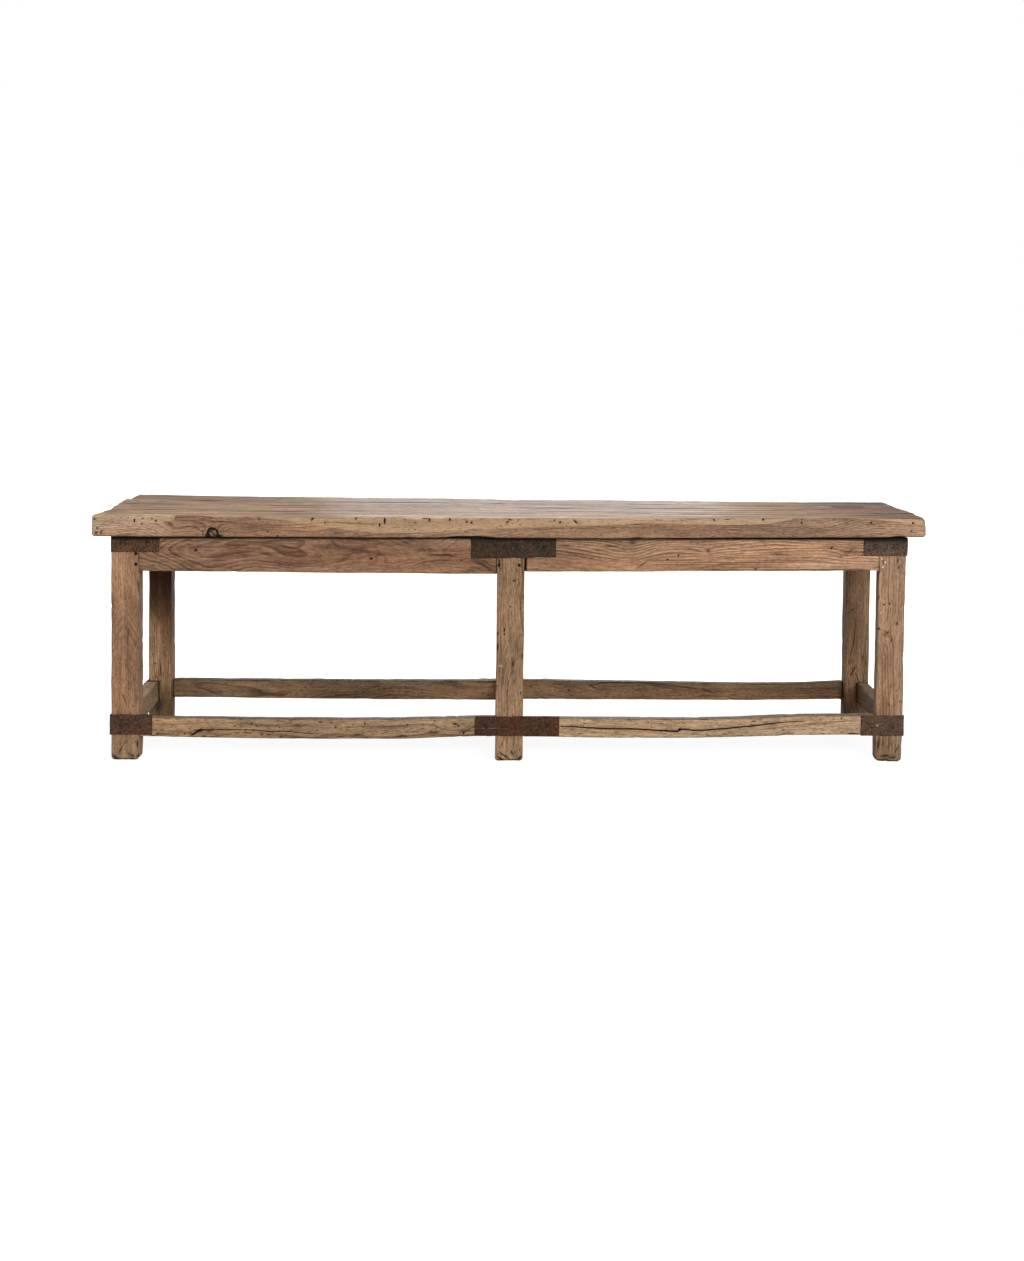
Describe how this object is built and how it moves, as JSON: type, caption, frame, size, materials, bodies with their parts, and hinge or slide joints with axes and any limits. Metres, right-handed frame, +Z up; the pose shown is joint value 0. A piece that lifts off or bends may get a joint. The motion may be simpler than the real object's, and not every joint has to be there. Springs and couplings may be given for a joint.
{
  "type": "refectory table",
  "caption": "Long rustic plank-topped table on square legs, with aprons, low box stretchers and iron straps nailed over the joints, for dining or working at.",
  "frame": {"origin": "on the floor, under the middle of the top's outline", "axes": "+X along the table to the right as seen from the front, +Y from the front to the back, +Z up"},
  "size_m": [2.5999, 0.8504, 0.77],
  "materials": {
    "plank_wood": "weathered hardwood planks, pale sapwood along the front edge, worm holes and checks, dry waxed sheen",
    "frame_wood": "reddish brown old hardwood, hand planed, worn corners, matt",
    "patch_wood": "darker let-in repairs, matt",
    "peg_wood": "dark end grain sunk in the peg holes",
    "strap_iron": "flat bar with dark brown rust and worn grey patches",
    "nail_iron": "hand forged nail heads, rusted, slightly polished on top",
    "screw_steel": "dull plain steel, out of sight under the top"
  },
  "bodies": {
    "root": {"back_left_apron": "frame_wood", "back_left_leg": "frame_wood", "back_left_lower_strap": "strap_iron", "back_left_stretcher": "frame_wood", "back_left_upper_strap": "strap_iron", "back_middle_leg": "frame_wood", "back_middle_lower_strap": "strap_iron", "back_middle_upper_strap": "strap_iron", "back_plank": "plank_wood", "back_right_apron": "frame_wood", "back_right_leg": "frame_wood", "back_right_lower_strap": "strap_iron", "back_right_stretcher": "frame_wood", "back_right_upper_strap": "strap_iron", "batten_screws": "screw_steel", "front_edge_patch": "patch_wood", "front_left_apron": "frame_wood", "front_left_leg": "frame_wood", "front_left_lower_strap": "strap_iron", "front_left_stretcher": "frame_wood", "front_left_upper_strap": "strap_iron", "front_middle_leg": "frame_wood", "front_middle_lower_strap": "strap_iron", "front_middle_upper_strap": "strap_iron", "front_plank": "plank_wood", "front_right_apron": "frame_wood", "front_right_leg": "frame_wood", "front_right_lower_strap": "strap_iron", "front_right_stretcher": "frame_wood", "front_right_upper_strap": "strap_iron", "inner_back_plank": "plank_wood", "inner_front_plank": "plank_wood", "joint_pegs": "peg_wood", "left_batten": "frame_wood", "left_end_apron": "frame_wood", "left_end_stretcher": "frame_wood", "middle_cross_rail": "frame_wood", "middle_cross_stretcher": "frame_wood", "right_batten": "frame_wood", "right_end_apron": "frame_wood", "right_end_stretcher": "frame_wood", "strap_nails": "nail_iron", "top_patch": "patch_wood"}
  },
  "joints": []
}
